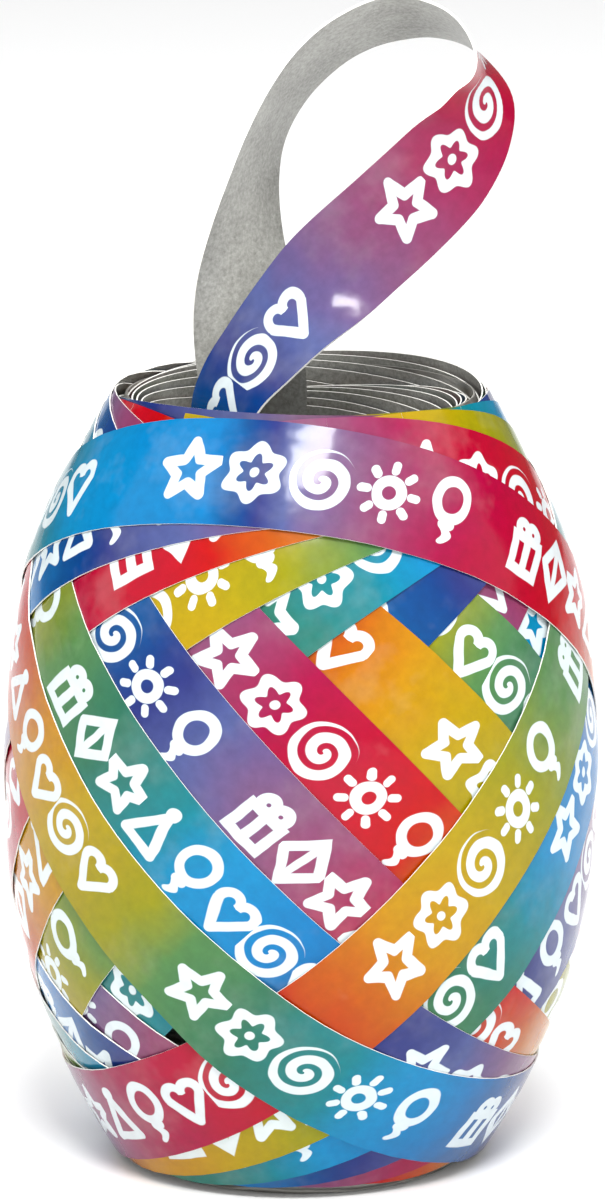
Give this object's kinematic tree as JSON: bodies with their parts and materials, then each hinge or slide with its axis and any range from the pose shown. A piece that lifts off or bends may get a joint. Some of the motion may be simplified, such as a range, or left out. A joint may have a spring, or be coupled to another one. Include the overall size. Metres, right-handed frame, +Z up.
{
  "type": "gift ribbon egg",
  "caption": "Egg of cross-wound printed gift ribbon with a hollow core and a hanging loop of the same ribbon standing out of its open top.",
  "frame": {"origin": "centre of the ring that the egg stands on", "axes": "+Z up along the winding axis, -Y towards the front, where the loop's printed leg faces"},
  "size_m": [0.0564, 0.0563, 0.1097],
  "materials": {
    "printed_ribbon": "glossy film printed with a watercolour rainbow and small white party drawings",
    "ribbon_reverse": "unprinted grey-white reverse with a fine satin grain",
    "wound_ribbon": "packed ribbon edges and reverse faces",
    "clear_glue": "clear hot-melt adhesive"
  },
  "bodies": {
    "egg": {"wound_pack": "wound_ribbon", "inner_turn_01": "ribbon_reverse", "inner_turn_02": "ribbon_reverse", "inner_turn_03": "ribbon_reverse", "inner_turn_04": "ribbon_reverse", "inner_turn_05": "ribbon_reverse", "inner_turn_06": "ribbon_reverse", "inner_turn_07": "ribbon_reverse", "inner_turn_08": "ribbon_reverse", "innermost_turn": "ribbon_reverse", "outer_turn_01": "printed_ribbon", "outer_turn_02": "printed_ribbon", "outer_turn_03": "printed_ribbon", "outer_turn_04": "printed_ribbon", "outer_turn_05": "printed_ribbon", "outer_turn_06": "printed_ribbon", "outer_turn_07": "printed_ribbon", "outer_turn_08": "printed_ribbon", "outer_turn_09": "printed_ribbon", "outer_turn_10": "printed_ribbon", "outer_turn_11": "printed_ribbon", "outer_turn_12": "printed_ribbon", "outer_turn_13": "printed_ribbon", "outer_turn_14": "printed_ribbon"},
    "loop_feed": {"loop_leg_back": "printed_ribbon", "loop_leg_front": "printed_ribbon", "glue_dot": "clear_glue"},
    "loop": {"hanging_loop": "printed_ribbon"}
  },
  "joints": [
    {"name": "loop_pull", "type": "slide", "parent": "egg", "child": "loop_feed", "axis": [0, 0, 1], "range_m": [0, 0.012]},
    {"name": "loop_bend", "type": "hinge", "parent": "loop_feed", "child": "loop", "pos_m": [-0.0044, 0, 0.07235], "axis": [1, 0, 0], "range_deg": [-50, 50], "stiffness_Nm_per_rad": 0.001}
  ]
}
